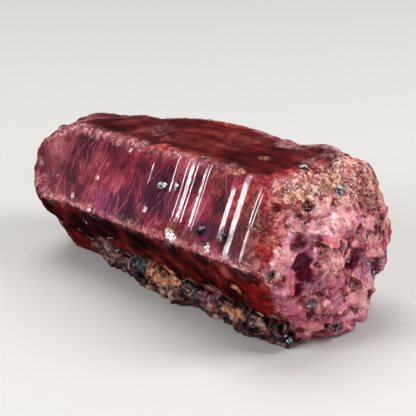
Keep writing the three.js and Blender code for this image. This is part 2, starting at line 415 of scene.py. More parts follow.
# how far each point moves outward, in mm, and the tones of the facets that move it
def crystalRelief(points, normals, shares, part, ripple):
    x = points[:, 0]
    broken, farEnd, rim, worn = part["broken"], part["farEnd"], part["rim"], part["worn"]
    warped = points + 0.4 * np.stack([waves(points, 1.5, s) for s in (3, 4, 5)], axis=1)
    facet, facetTone, _ = facets(
        warped, crystal["facetMm"], 6, crystal["facetStep"], crystal["facetTilt"], 0.5,
    )
    chip, chipTone, chipEdge = facets(
        warped, crystal["chipMm"], 7, crystal["chipStep"], crystal["chipTilt"], 0.22,
    )
    grit, gritTone, _ = facets(points, crystal["gritMm"], 8, crystal["gritStep"], 0.5, 0.1)
    tones = {"facetTone": facetTone, "chipTone": chipTone, "gritTone": gritTone, "chipEdge": chipEdge}

    # the ends and the worn edges: facets, chips, grit
    inner = fade(normals[:, 0], 0.45, 0.75)  # the break's steps are lower where it turns into the sides
    stepped = facet * (0.35 + 0.65 * inner) + chip * (0.5 + 0.5 * inner) + 0.25 * grit
    height = broken * (1 - rim) * stepped - broken * crystal["sunkMm"]
    height += rim * (0.35 * facet + 0.5 * chip + 0.7 * grit)
    height += farEnd * (0.55 * chip + 0.14 * waves(points, 1.4, 10) + 0.3 * grit)
    rubbed = crystal["wearMm"] * np.abs(waves(points, 1.7, 11)) + 0.12 * np.abs(ripple) + 0.2 * np.abs(grit)
    height -= worn * rubbed

    # the side faces: growth steps, faint lines across them, low waves, dents and dimples
    sides = 1 - np.clip(part["ends"] + worn, 0, 1)
    runStart, runEnd = crystal["stepRunMm"]
    evened = stepRise(x.max()) * np.clip((x - runStart) / (runEnd - runStart), 0, 1)
    height += part["onFront"] * sides * crystal["stepTilt"] * (evened - stepRise(x))
    height += sides * crystal["streakMm"] * waves(points * [1 / 0.9, 1 / 9.0, 1 / 9.0], 1, 13)
    height += sides * crystal["waveMm"] * waves(points, 3.5, 14)
    onFoot = fade(shares["foot"], 0.8, 0.95)
    height -= sides * onFoot * crystal["dentMm"] * np.abs(waves(points, 2.4, 15))
    height -= sides * crystal["dimpleMm"] * fade(waves(points, 1.1, 16), 0.5, 0.7)
    return height, tones


def carveCrystal(made, rockTree):
    mesh = made.data
    points, normals, edges = readMesh(mesh)
    x, y, z = points.T
    wander = waves(points, 2.2, 1)
    ripple = waves(points, 0.9, 2)
    shares = faceShares(normals)
    part = crystalParts(points, normals, edges, shares, wander)
    height, paint = crystalRelief(points, normals, shares, part, ripple)
    zones = crystal["zones"]
    broken, slant, inside = part["broken"], part["slant"], 1 - part["ends"]

    # sockets round the mica, the brown scab, the hollows of the break
    sockets = patches(points, [(*spot[:3], *[0.65 * spot[3]] * 3) for spot in mica["placed"]], 0.3 * ripple)
    height += 0.3 * patches(points, zones["brown"], 0.2 * ripple) - 0.12 * sockets
    hollows = [pitShade for pitShade in zones["pitShade"] if pitShade[1] < 0]
    height -= crystal["hollowMm"] * broken * patches(points, hollows, 0.3 * wander)

    broad = np.stack([spread(normals[:, k], edges, crystal["broadRounds"]) for k in range(3)], axis=1)
    moved = swell(points, broad, crystal["swells"]) + normals * height[:, None]
    resting = (1 - fade(z, 0.1, 0.6))[:, None]  # the seat stays flat
    moved = moved * (1 - resting) + points * resting
    low, high = np.array(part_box("ruby_crystal")) / mm
    moved = np.clip(moved, low - crystal["proudMm"], high + crystal["proudMm"])
    moved[:, 2] = np.maximum(moved[:, 2], 0)

    # what the material needs to know of each point
    ragged = 0.35 * wander + 0.30 * ripple + 0.15 * waves(points, 0.45, 17)
    for name in ("top", "front", "foot"):
        paint[name] = fade(shares[name], 0.90, 0.965) * inside
    paint["back"] = fade(np.maximum(shares["lowBack"], shares["highBack"]), 0.90, 0.965) * inside
    paint["nearTop"] = fade(x + 1.5 * wander, 4, 17)
    paint["broken"] = broken * (1 - 0.8 * slant)
    paint["bevel"] = np.maximum(part["bevel"] * fade(-y, 0, 3), slant)
    paint["rim"] = part["rim"]
    paint["farEnd"] = part["farEnd"]
    paint["dull"] = fade(2 * wander - x, 3, 17) * (1 - part["farEnd"])
    # painted shade round each mica book
    paint["socket"] = sockets
    paint["worn"] = np.clip(part["frosted"] * (0.8 + 0.8 * ripple), 0, 1)
    netted = fade(x + 1.2 * wander + 0.25 * (z - 15), 14.4, 17.0) * (1 - broken) * part["onFront"]
    paint["netted"] = np.maximum(netted, slant)
    # above 0 in the recesses, below on the crests: the material paints shade into the recesses and keeps its
    # painted glints to the crests
    hollow = spread(height, edges, crystal["hollowRounds"]) - height
    paint["hollow"] = np.clip(hollow / crystal["recessMm"], -1, 1)
    reach = 0.003  # m: farther from the rind than this makes no difference
    away = np.array([rockTree.find_nearest(p, reach)[3] or reach for p in (points * mm).tolist()]) / mm
    beside = (1 - fade(away + 1.6 * ragged, 0.0, 1.1)) * fade(-y, 2.5, 4)
    paint["rock"] = np.maximum(beside, patches(points, rock["onCrystal"], 1.4 * ragged)) * (1 - broken)
    for name, places in (zones | rock["masses"]).items():
        paint[name] = patches(points, places, ragged)
    writeMesh(mesh, moved, paint)


# the colours of mica schist: dark red-brown where it is full of ruby, tan and orange feldspar, blue-grey mica
rock = {
    "ior": 1.54,
    "shine": 0.35,
    "gloss": (0.7, 0.3),  # roughness of its dullest and its brightest chips
    "patchMm": 2.4,
    "grainMm": 0.7,  # grains of feldspar and mica, and the dust on them
    "dustMm": 0.25,
    "reliefMm": 0.08,
    "colours": {
        "plain": [
            (0.36, "#0b0405"), (0.44, "#251013"), (0.51, "#4a2327"), (0.58, "#6e4742"), (0.64, "#8f6e5e"),
            (0.72, "#b59a82"),
        ],
        "feldspar": [
            (0.34, "#3d1c10"), (0.44, "#7d4630"), (0.54, "#b0714f"), (0.64, "#c79a7a"), (0.76, "#6b6058"),
        ],
        "rubyRich": [
            (0.36, "#16050a"), (0.45, "#421720"), (0.53, "#75353c"), (0.61, "#a3656a"), (0.72, "#cfa29b"),
        ],
        "micaRich": [
            (0.34, "#08090b"), (0.45, "#1f272c"), (0.54, "#505d65"), (0.62, "#322c2b"), (0.74, "#a9b6bd"),
        ],
    },
    # x, y, z and half sizes of its masses, in mm
    "masses": {
        "rubyRich": [
            (13.0, -6.4, 1.8, 2.2, 1.4, 1.2), (16.2, -6.2, 2.2, 2.0, 1.4, 1.2),
            (8.8, -7.0, 3.6, 1.6, 1.0, 0.9), (-7.0, -5.6, 3.4, 1.4, 1.0, 0.8),
            (-11.0, -6.0, 4.0, 1.2, 1.0, 0.6),
        ],
        "feldspar": [
            (1.2, -5.6, 3.6, 4.2, 2.2, 2.0), (6.2, -4.8, 1.2, 1.6, 1.0, 0.7),
            (12.6, -6.6, 2.8, 2.6, 1.0, 0.8), (-9.0, -5.0, 3.2, 1.0, 1.0, 0.7),
            (13.6, -9.1, 6.1, 1.2, 1.2, 1.8), (18.0, -4.6, 1.6, 1.0, 1.0, 0.6),
        ],
        "micaRich": [
            (-3.2, -5.6, 3.6, 1.7, 1.5, 1.5), (4.6, -5.4, 2.2, 1.7, 1.3, 1.5),
            (8.2, -5.0, 1.0, 2.0, 1.2, 0.8), (16.4, -5.8, 1.9, 1.8, 1.2, 1.0),
            (18.6, -4.0, 1.0, 1.6, 1.4, 1.0), (11.0, -5.6, 1.4, 1.0, 0.8, 0.8),
            (-12.4, -6.4, 4.6, 0.8, 0.8, 0.6),
        ],
    },
    "onCrystal": [  # where it covers the crystal's foot
        (13.1, -9.5, 7.0, 0.9, 1.2, 1.1), (13.6, -9.1, 6.1, 0.9, 1.2, 1.1), (14.1, -8.7, 5.3, 0.9, 1.2, 1.1),
        (15.3, -7.6, 3.2, 1.0, 1.2, 1.1), (15.9, -7.2, 2.4, 1.1, 1.2, 1.1), (9.0, -7.8, 4.4, 1.4, 0.8, 0.8),
        (-18.4, -5.4, 4.3, 0.5, 0.5, 0.6), (-15.0, -5.9, 4.6, 0.8, 0.6, 0.5),
        (-11.2, -5.8, 4.1, 0.9, 0.6, 0.5), (-8.2, -5.7, 3.8, 0.8, 0.6, 0.5),
    ],
}


# adds the rock's colour to a material, and returns its colour socket
def paintRock(tree, inMm):
    patch = addNode(tree, "TexNoise", {
        "Vector": inMm, "Scale": 1 / rock["patchMm"], "Detail": 7.0, "Roughness": 0.75, "Distortion": 0.8,
    })
    grain = addNode(tree, "TexVoronoi", {"Vector": inMm, "Scale": 1 / rock["grainMm"]})
    toned = addNode(tree, "SeparateColor", {0: grain.outputs["Color"]})
    tone = addNode(tree, "Math", {0: toned.outputs["Red"], 1: 0.2, 2: patch}, operation="MULTIPLY_ADD")
    level = addNode(tree, "Math", {0: tone, 1: 0.1}, operation="SUBTRACT")
    painted = setStops(addNode(tree, "ValToRGB", {0: level}), rock["colours"]["plain"])
    for name in rock["masses"]:
        over = setStops(addNode(tree, "ValToRGB", {0: level}), rock["colours"][name])
        where = addNode(tree, "Attribute", attribute_name=name).outputs["Fac"]
        torn = addNode(tree, "Math", {0: toned.outputs["Green"], 1: 0.5, 2: where}, operation="MULTIPLY_ADD")
        mask = addNode(tree, "MapRange", {0: torn, 1: 0.65, 2: 0.8})
        painted = addNode(tree, "Mix", {0: mask, 6: painted, 7: over}, data_type="RGBA").outputs[2]
    return painted


# Ruby: corundum coloured by chromium, as grown in mica schist. Its grown faces are satin and only
# dimly see-through, so they show a deep soft red; growth steps and fresh facets are glassy.
ruby = {
    "ior": 1.77,
    "shine": 0.035,  # far less than a polished stone's: the grown skin scatters most of it
    "satin": (0.32, 0.54),  # roughness of the grown faces, and of the chips of the break
    "glassy": (0.18, 0.5),
    "coat": 0.7,  # gloss of the freshest chips
    "coatRough": 0.09,
    "depth": 0.25,  # how much of the light goes in and comes out again
    "depthMm": 1.4,
    "reach": (1.0, 0.16, 0.22),  # how far red, green and blue light get inside, against depthMm
    "facetLight": (0.3, 1.85),  # how dark and how light the facets and the grains are, against their colour
    "grainLight": (0.6, 1.42),
    "greenLoss": 1.55,  # how much faster than red they change with that
    "blueLoss": 1.4,
    # uneven depth of colour: size in mm, and detail. Real dust is finer: drawn coarse enough to show.
    "noises": {"cloud": (3.6, 6.0), "fine": (0.8, 4.0), "dust": (0.24, 3.0)},
    # fine lines across the faces: turn from square to the long axis, spacing, length, width of a line.
    # Real ones are hair fine: drawn wide enough to show.
    "threads": [
        (12, 1.1, 16.0, 0.014), (-24, 0.9, 18.0, 0.012), (34, 1.4, 14.0, 0.012), (6, 3.4, 20.0, 0.014),
    ],
    "curlMm": 0.55,  # short bright curls where the stone is crumbled, which are painted glints, and how far apart they are cut
    "cutMm": 0.8,
    "crumbMm": 0.36,
    "stepShakeMm": 0.14,  # how far the growth steps' lines wander, and how ragged their ends are
    "stepTearMm": 2.0,
    "reliefMm": {"crumb": 0.08, "curl": 0.05, "thread": 0.012, "dust": 0.07, "skin": 0.016},
    "colours": {
        "mottle": [
            (0.34, "#22050e"), (0.43, "#4c0f1f"), (0.5, "#6d1b2f"), (0.58, "#8e3346"), (0.68, "#b56c78"),
        ],
        "front": [
            (0.36, "#1b020d"), (0.43, "#3a0618"), (0.48, "#590b22"), (0.53, "#72162a"), (0.59, "#892d40"),
            (0.69, "#b66c78"),
        ],
        "top": [(0.36, "#1c0405"), (0.44, "#360a0c"), (0.5, "#4e1113"), (0.57, "#672221"), (0.67, "#8b4843")],
        # the downward face: partly its own deep red, partly painted shade, near black
        "foot": [
            (0.36, "#080001"), (0.45, "#1d0203"), (0.53, "#3b0508"), (0.62, "#5e1416"), (0.74, "#8d3b3c"),
        ],
        "farEnd": [(0.36, "#22070c"), (0.46, "#40141c"), (0.54, "#5d282f"), (0.66, "#94605f")],
        "worn": [
            (0.34, "#55151e"), (0.44, "#8b424a"), (0.53, "#b26f75"), (0.62, "#d6a39c"), (0.72, "#f6ddd4"),
        ],
        "shade": "#330822",
        # painted shade round the mica
        "socket": "#20060f",
        # painted shade in the hollows of the break
        "pitShade": "#480418",
        "glow": [
            (0.34, "#45090c"), (0.44, "#76171a"), (0.54, "#9c302e"), (0.64, "#bf5952"), (0.78, "#e5a396"),
        ],
        "ember": [
            (0.34, "#1f0102"), (0.43, "#560606"), (0.51, "#86110c"), (0.58, "#a6241a"), (0.68, "#c85c48"),
        ],
        "gold": [(0.36, "#6c2a1e"), (0.47, "#9c5640"), (0.56, "#c8906a"), (0.68, "#fbe2c0")],
        "brown": "#6a3a2b",
        # painted glint: white spots and specks
        "glintSpot": "#fbeef0",
        "umber": "#4a1814",
        # pale pink up to near white: partly painted highlight
        "blushAndHighlight": [(0.36, "#b04a56"), (0.46, "#d98890"), (0.55, "#f2b8ba"), (0.66, "#fff2ee")],
        "violet": "#5c2654",
        "thread": "#b55a6c",
        # painted glint of the growth steps
        "line": "#eadbe2",
        "net": "#c9806c",
        # painted glints: bright curls, gold-tinted on the iron-stained crumbs
        "curl": "#fbd9c8",
        "goldCurlGlint": "#ffd8ae",
        "facets": [
            (0.08, "#b04a66"), (0.2, "#bd6470"), (0.32, "#94304c"), (0.44, "#bb5a70"), (0.56, "#b8626a"),
            (0.68, "#a23a52"), (0.8, "#823c5c"), (0.92, "#c6707e"),
        ],
        "vein": "#df9a92",
        "crust": [
            (0.34, "#3e0609"), (0.44, "#761a1a"), (0.52, "#9f3631"), (0.6, "#bf5f4d"), (0.69, "#eaa68c"),
        ],
        # painted glint: near-white specks
        "paintedGlint": "#fff0ea",
    },
    # the colours' places, from the body of the stone outwards: where, the noise that tears its edge, how
    # ragged and how wide that edge is, how strong, and which colour
    "layers": [
        ("front", "fine", 0.3, 0.3, 1.0, "front"),
        ("top", "fine", 0.3, 0.3, 1.0, "top"),
        ("dull", "fine", 1.2, 1.2, 0.7, "farEnd"),
        ("foot", "fine", 0.3, 0.3, 1.0, "foot"),
        ("farEnd", "fine", 0.5, 0.4, 1.0, "farEnd"),
        ("broken", "fine", 1.2, 0.4, 1.0, "facets"),
        ("worn", "fine", 1.2, 0.9, 0.8, "worn"),
        ("rim", "fine", 1.2, 0.5, 0.85, "crust"),
        ("violet", "fine", 1.6, 0.7, 0.6, "violet"),
        ("bevel", "fine", 1.6, 0.9, 0.8, "glow"),
        ("glow", "fine", 1.6, 0.9, 0.85, "glow"),
        ("ember", "fine", 1.6, 0.9, 0.85, "ember"),
        ("gold", "dust", 2.8, 0.5, 0.5, "gold"),
        ("umber", "fine", 1.4, 0.8, 0.75, "umber"),
        ("shade", "fine", 1.4, 0.9, 0.8, "shade"),
        ("brown", "fine", 0.6, 0.3, 0.9, "brown"),
        # the next five are painted light: glint spots and specks, the highlight in the pale pink, and the
        # shade of the hollows and round the mica
        ("glintSpot", "dust", 8.0, 1.0, 0.9, "glintSpot"),
        ("smallGlint", "dust", 3.0, 1.0, 0.55, "glintSpot"),
        ("blushAndHighlight", "fine", 1.6, 0.8, 0.8, "blushAndHighlight"),
        ("pitShade", "fine", 1.2, 0.6, 0.95, "pitShade"),
        ("socket", "dust", 1.2, 0.6, 0.65, "socket"),
        ("rock", "fine", 0.8, 0.25, 1.0, "rock"),
    ],
}


# darkens or lightens a colour as a deeper or thinner layer of ruby would: green and blue change most
def deepen(tree, colour, light):
    green = addNode(tree, "Math", {0: light, 1: ruby["greenLoss"]}, operation="POWER")
    blue = addNode(tree, "Math", {0: light, 1: ruby["blueLoss"]}, operation="POWER")
    through = addNode(tree, "CombineXYZ", {0: light, 1: green, 2: blue})
    return addNode(tree, "VectorMath", {0: colour, 1: through}, operation="MULTIPLY")


# long soft streaks across the faces: the thin pale line along the middle of each, and the last streaks
def threadLines(tree, inMm):
    across = (0.0, -0.88, 0.46)  # the way the upper front face looks
    pale = 0.0
    for turn, gap, length, width in ruby["threads"]:
        turned = addNode(tree, "VectorRotate", {"Vector": inMm, "Axis": across, "Angle": math.radians(turn)})
        pulled = addNode(tree, "VectorMath", {
            0: turned, 1: (1 / gap, 1 / length, 1 / length),
        }, operation="MULTIPLY")
        streak = addNode(tree, "TexNoise", {"Vector": pulled, "Scale": 1.0, "Detail": 1.5, "Roughness": 0.6})
        line = addNode(tree, "MapRange", {0: offMiddle(tree, streak, 0.5), 1: 0.0, 2: width, 3: 1.0, 4: 0.0})
        pale = addNode(tree, "Math", {0: line, 1: pale}, operation="MAXIMUM")
    return pale, streak


# short curls: the middles of a twisted noise's waves, cut short by another one
def curlLines(tree, inMm):
    curl = 0.0
    for seed in (3.0, 8.0):
        moved = addNode(tree, "VectorMath", {0: inMm, 1: (seed, seed, seed)}, operation="ADD")
        twisted = addNode(tree, "TexNoise", {
            "Vector": moved, "Scale": 1 / ruby["curlMm"], "Detail": 2.0, "Distortion": 1.6,
        })
        line = addNode(tree, "MapRange", {0: offMiddle(tree, twisted, 0.5), 1: 0.02, 2: 0.05, 3: 1.0, 4: 0.0})
        cut = addNode(tree, "TexNoise", {"Vector": moved, "Scale": 1 / ruby["cutMm"], "Detail": 1.0})
        kept = addNode(tree, "MapRange", {0: cut, 1: 0.5, 2: 0.56})
        short = addNode(tree, "Math", {0: line, 1: kept}, operation="MULTIPLY")
        curl = addNode(tree, "Math", {0: short, 1: curl}, operation="MAXIMUM")
    return curl


# the growth steps: how glossy each place is, how pale with painted glint, and how far the steps have lowered
# it
def growthLines(tree, inMm, field, where):
    xyz = addNode(tree, "SeparateXYZ", {0: inMm})
    shake, tear = ruby["stepShakeMm"], ruby["stepTearMm"]
    shaken = addNode(tree, "Math", {
        0: field["fine"], 1: shake, 2: xyz.outputs["X"],
    }, operation="MULTIPLY_ADD")
    along = addNode(tree, "Math", {0: shaken, 1: shake / 2}, operation="SUBTRACT")
    torn = addNode(tree, "Math", {0: field["dust"], 1: tear, 2: xyz.outputs["Z"]}, operation="MULTIPLY_ADD")
    upward = addNode(tree, "Math", {0: torn, 1: tear / 2}, operation="SUBTRACT")
    glossy = 0.0
    stepGlints = 0.0
    fall = 0.0
    for middle, width, low, high in crystal["growthSteps"]:
        halfTall = (high - low) / 2
        glintPaleness = 0.85 if width < 0.3 else 0.25  # painted glint: the narrow ones show as pale lines
        side = addNode(tree, "Math", {0: along, 1: middle}, operation="SUBTRACT")
        away = addNode(tree, "Math", {0: side}, operation="ABSOLUTE")
        above = offMiddle(tree, upward, (low + high) / 2)
        wide = addNode(tree, "MapRange", {0: away, 1: width * 0.45, 2: width * 0.55, 3: 1.0, 4: 0.0})
        tall = addNode(tree, "MapRange", {0: above, 1: halfTall - 0.1, 2: halfTall + 0.1, 3: 1.0, 4: 0.0})
        band = addNode(tree, "Math", {0: wide, 1: tall}, operation="MULTIPLY")
        glossy = addNode(tree, "Math", {0: band, 1: glossy}, operation="MAXIMUM")
        stepGlintTint = addNode(tree, "Math", {0: band, 1: glintPaleness}, operation="MULTIPLY")
        stepGlints = addNode(tree, "Math", {0: stepGlintTint, 1: stepGlints}, operation="MAXIMUM")
        ramp = addNode(tree, "MapRange", {0: side, 1: -width / 2, 2: width / 2, 3: 0.0, 4: -width})
        fall = addNode(tree, "Math", {0: ramp, 1: fall}, operation="ADD")
    cracked = addNode(tree, "MapRange", {
        0: offMiddle(tree, field["fine"], 0.5), 1: 0.006, 2: 0.018, 3: 0.1, 4: 0.66,
    })
    etched = addNode(tree, "MapRange", {0: field["dust"], 1: 0.34, 2: 0.5, 3: 0.7, 4: 1.0})
    whole = addNode(tree, "Math", {0: cracked, 1: etched}, operation="MULTIPLY")
    glossy = addNode(tree, "Math", {0: glossy, 1: whole}, operation="MULTIPLY")
    glossy = addNode(tree, "Math", {0: glossy, 1: where}, operation="MULTIPLY")
    stepGlints = addNode(tree, "Math", {0: stepGlints, 1: where}, operation="MULTIPLY")
    return glossy, stepGlints, fall


# the colour of each kind of surface: a tone between two noises, or between two sizes of facet, chooses it
# from that surface's ramp
def rubyRamps(tree, inMm, share, field):
    frontTone = addNode(tree, "Mix", {0: 0.45, 2: field["cloud"], 3: field["streak"]})
    wornTone = addNode(tree, "Mix", {0: 0.4, 2: field["fine"], 3: field["dust"]})
    hueTone = addNode(tree, "Mix", {0: 0.35, 2: share["facetTone"], 3: share["chipTone"]})
    # how light each facet of the break is: a tone that differs at random, with painted shade darkening the
    # recesses
    facetToneAndShade = addNode(tree, "Mix", {0: 0.45, 2: share["chipTone"], 3: field["fine"]})
    facetToneAndShade = addNode(tree, "Math", {0: share["hollow"], 1: -0.09, 2: facetToneAndShade}, operation="MULTIPLY_ADD")
    lightness = addNode(tree, "MapRange", {
        0: facetToneAndShade, 1: 0.27, 2: 0.71, 3: ruby["facetLight"][0], 4: ruby["facetLight"][1],
    })
    crustTone = addNode(tree, "Mix", {0: 0.35, 2: wornTone, 3: share["gritTone"]})
    # the top is streaked along its length, and deeper in colour towards the break
    lengthwise = addNode(tree, "VectorMath", {0: inMm, 1: (0.12, 0.7, 0.7)}, operation="MULTIPLY")
    drawn = addNode(tree, "TexNoise", {"Vector": lengthwise, "Scale": 1.0, "Detail": 5.0, "Roughness": 0.6})
    drawn = addNode(tree, "Math", {0: share["nearTop"], 1: -0.11, 2: drawn}, operation="MULTIPLY_ADD")
    topTone = addNode(tree, "Mix", {0: 0.5, 2: field["cloud"], 3: drawn})
    ramped = {}
    tones = {
        "mottle": frontTone, "front": frontTone, "top": topTone, "foot": field["cloud"], "farEnd": frontTone,
        "worn": wornTone, "facets": hueTone, "crust": crustTone, "glow": field["fine"],
        "ember": field["cloud"], "gold": wornTone, "blushAndHighlight": wornTone,
    }
    for name, tone in tones.items():
        ramped[name] = setStops(addNode(tree, "ValToRGB", {0: tone}), ruby["colours"][name])
    ramped["facets"] = deepen(tree, ramped["facets"], lightness)
    return ramped


def rubyMaterial():
    material, tree = newMaterial("corundum, grown faces and fresh break")
    colours = ruby["colours"]
    inMm = placeInMm(tree)
    share = {}
    places = [
        "top", "front", "foot", "back", "broken", "rim", "farEnd", "worn", "rock", "hollow", "bevel",
        "nearTop", "facetTone", "chipTone", "gritTone", "chipEdge", "dull", "socket", "netted",
        *crystal["zones"],
    ]
    for name in places:
        share[name] = addNode(tree, "Attribute", attribute_name=name).outputs["Fac"]
    field = {}
    for name, (size, detail) in ruby["noises"].items():
        field[name] = addNode(tree, "TexNoise", {
            "Vector": inMm, "Scale": 1 / size, "Detail": detail, "Roughness": 0.65,
        })

    pale, field["streak"] = threadLines(tree, inMm)
    strong = addNode(tree, "MapRange", {0: field["cloud"], 1: 0.42, 2: 0.62, 3: 0.05, 4: 0.75})
    thread = addNode(tree, "Math", {0: pale, 1: strong}, operation="MULTIPLY")
    curl = curlLines(tree, inMm)
    glossy, stepGlints, fall = growthLines(tree, inMm, field, share["front"])

    ramped = rubyRamps(tree, inMm, share, field)
    ramped["rock"] = paintRock(tree, inMm)

    # veins between the chips of the break, here and there, but not in its pits
    ragVein = addNode(tree, "Math", {
        0: field["fine"], 1: -1.6, 2: share["chipEdge"],
    }, operation="MULTIPLY_ADD")
    vein = addNode(tree, "MapRange", {0: ragVein, 1: -0.85, 2: -0.68, 3: 0.35, 4: 0.0})
    clear = addNode(tree, "MapRange", {0: share["pitShade"], 1: 0.0, 2: 0.5, 3: 1.0, 4: 0.0})
    fractured = addNode(tree, "Math", {0: share["broken"], 1: clear}, operation="MULTIPLY")
    vein = addNode(tree, "Math", {0: vein, 1: fractured}, operation="MULTIPLY")
    frosted = addNode(tree, "Math", {0: share["worn"], 1: 0.6}, operation="MULTIPLY")
    crumbled = addNode(tree, "Math", {0: fractured, 1: frosted}, operation="MAXIMUM")

    # painted glints: specks on the crumbled parts and thicker on the rim, and bright curls on their crests; a
    # net of curls beside the bevel, and the threads of the side faces
    speck = addNode(tree, "MapRange", {0: field["dust"], 1: 0.63, 2: 0.67})
    rimGlints = addNode(tree, "MapRange", {0: field["dust"], 1: 0.6, 2: 0.64})
    rimGlints = addNode(tree, "Math", {0: rimGlints, 1: share["rim"]}, operation="MULTIPLY")
    paintedGlint = addNode(tree, "Math", {0: speck, 1: crumbled}, operation="MULTIPLY")
    paintedGlint = addNode(tree, "Math", {0: paintedGlint, 1: rimGlints}, operation="MAXIMUM")
    crumbs = addNode(tree, "Math", {0: crumbled, 1: 0.28, 2: share["rim"]}, operation="MULTIPLY_ADD")
    meshed = addNode(tree, "Math", {0: share["netted"], 1: 0.7}, operation="MULTIPLY")
    meshed = addNode(tree, "Math", {0: meshed, 1: curl}, operation="MULTIPLY")
    curlGlints = addNode(tree, "Math", {0: crumbs, 1: 0.95}, operation="MULTIPLY", use_clamp=True)
    curlGlints = addNode(tree, "Math", {0: curlGlints, 1: curl}, operation="MULTIPLY")
    crest = addNode(tree, "MapRange", {0: share["hollow"], 1: 0.0, 2: 0.7, 3: 1.0, 4: 0.15})
    curlGlints = addNode(tree, "Math", {0: curlGlints, 1: crest}, operation="MULTIPLY")
    onSides = addNode(tree, "Math", {0: share["back"], 1: 0.6, 2: share["front"]}, operation="MULTIPLY_ADD")
    lines = addNode(tree, "Math", {0: thread, 1: onSides}, operation="MULTIPLY")

    # colour, from the body of the stone outwards
    colour = ramped["mottle"]
    for name, torn, raggedness, width, strength, over in ruby["layers"]:
        where = share[name]
        over = ramped[over] if over in ramped else linear(colours[over])
        torn = addNode(tree, "Math", {0: field[torn], 1: raggedness, 2: where}, operation="MULTIPLY_ADD")
        start = 0.5 + (raggedness - width) / 2
        mask = addNode(tree, "MapRange", {0: torn, 1: start, 2: start + width, 4: strength})
        shown = addNode(tree, "Math", {0: where, 1: 4.0}, operation="MULTIPLY", use_clamp=True)
        mask = addNode(tree, "Math", {0: mask, 1: shown}, operation="MULTIPLY")
        colour = addNode(tree, "Mix", {0: mask, 6: colour, 7: over}, data_type="RGBA").outputs[2]

    # grain: lighter and darker specks, fewer on the smooth chips of the break and on the netted part
    smooth = addNode(tree, "Math", {
        0: share["broken"], 1: share["rim"],
    }, operation="SUBTRACT", use_clamp=True)
    grainy = addNode(tree, "MapRange", {
        0: field["dust"], 1: 0.33, 2: 0.67, 3: ruby["grainLight"][0], 4: ruby["grainLight"][1],
    })
    evened = addNode(tree, "Math", {0: smooth, 1: 0.7}, operation="MULTIPLY")
    evened = addNode(tree, "Math", {
        0: share["netted"], 1: 0.6, 2: evened,
    }, operation="MULTIPLY_ADD", use_clamp=True)
    grainy = addNode(tree, "Mix", {0: evened, 2: grainy, 3: 1.0})
    colour = deepen(tree, colour, grainy)

    # the fine marks on top of all, the painted glints among them
    tints = {0: share["gold"], 6: linear(colours["curl"]), 7: linear(colours["goldCurlGlint"])}
    curlGlintTint = addNode(tree, "Mix", tints, data_type="RGBA").outputs[2]
    drawnOver = (
        (vein, linear(colours["vein"])),
        (lines, linear(colours["thread"])),
        (meshed, linear(colours["net"])),
        (curlGlints, curlGlintTint),
        (stepGlints, linear(colours["line"])),
        (paintedGlint, linear(colours["paintedGlint"])),
    )
    for mask, over in drawnOver:
        colour = addNode(tree, "Mix", {0: mask, 6: colour, 7: over}, data_type="RGBA").outputs[2]

    # gloss: satin, uneven, with glassy chips on the break
    satin = addNode(tree, "MapRange", {
        0: field["fine"], 1: 0.3, 2: 0.7, 3: ruby["satin"][0], 4: ruby["satin"][1],
    })
    chips = addNode(tree, "MapRange", {
        0: share["chipTone"], 1: 0.0, 2: 1.0, 3: ruby["glassy"][0], 4: ruby["glassy"][1],
    })
    gloss = addNode(tree, "Mix", {0: share["broken"], 2: satin, 3: chips})

    # a clear coat stands for the glassy gloss of fresh chips and growth steps
    fresh = addNode(tree, "MapRange", {0: share["chipTone"], 1: 0.3, 2: 0.8, 3: 0.0, 4: ruby["coat"]})
    fresh = addNode(tree, "Math", {0: fresh, 1: crumbled}, operation="MULTIPLY")
    shiny = addNode(tree, "Math", {0: fresh, 1: glossy}, operation="MAXIMUM")

    # relief too fine for the mesh, in mm
    crumb = addNode(tree, "TexVoronoi", {"Vector": inMm, "Scale": 1 / ruby["crumbMm"]}).outputs["Distance"]
    sugary = addNode(tree, "Math", {
        0: smooth, 1: -0.7, 2: crumbled,
    }, operation="MULTIPLY_ADD", use_clamp=True)
    relief = 0.0
    depths = ruby["reliefMm"]
    reliefs = (
        (fall, share["front"], crystal["stepTilt"]),
        (crumb, sugary, depths["crumb"]),
        (curl, sugary, depths["curl"]),
        (pale, share["front"], depths["thread"]),
        (field["dust"], sugary, depths["dust"]),
        (field["dust"], field["cloud"], depths["skin"]),
    )
    for height, where, depth in reliefs:
        scaled = addNode(tree, "Math", {0: where, 1: depth}, operation="MULTIPLY")
        relief = addNode(tree, "Math", {0: height, 1: scaled, 2: relief}, operation="MULTIPLY_ADD")
    normal = addNode(tree, "Bump", {"Distance": mm, "Height": relief})

    shader = addNode(tree, "BsdfPrincipled", {
        "Base Color": colour, "Roughness": gloss, "Normal": normal, "IOR": ruby["ior"],
        "Specular IOR Level": ruby["shine"], "Subsurface Weight": ruby["depth"],
        "Subsurface Radius": ruby["reach"], "Subsurface Scale": ruby["depthMm"] * mm,
        "Coat Weight": shiny, "Coat Roughness": ruby["coatRough"], "Coat IOR": ruby["ior"],
        "Coat Normal": normal,
    })
    addNode(tree, "OutputMaterial", {"Surface": shader})
    return material


# The rind: broken schist. Feldspar gives it dull tan grains, mica the blue-grey glints.
rind = {
    "lumpMm": 3.4,
    "lumpStep": 0.7,
    "chipMm": 1.1,
    "chipStep": 0.3,
    "gritMm": 0.45,
    "gritStep": 0.16,
    "swells": [(5.8, -4.6, 0.8, 2.4, 0.6), (9.8, -4.8, 0.6, 3.0, -1.2)],
    "sinkMm": 1.0,  # how far its far part is moved in, so that it thins out along the crystal
    "taperMm": 1.1,  # how much thinner it is at the near end
    "proudLowMm": [0.3, 0.3, 0],  # how far its relief may stand outside the plain rind's box
    "proudHighMm": 0.5,
}


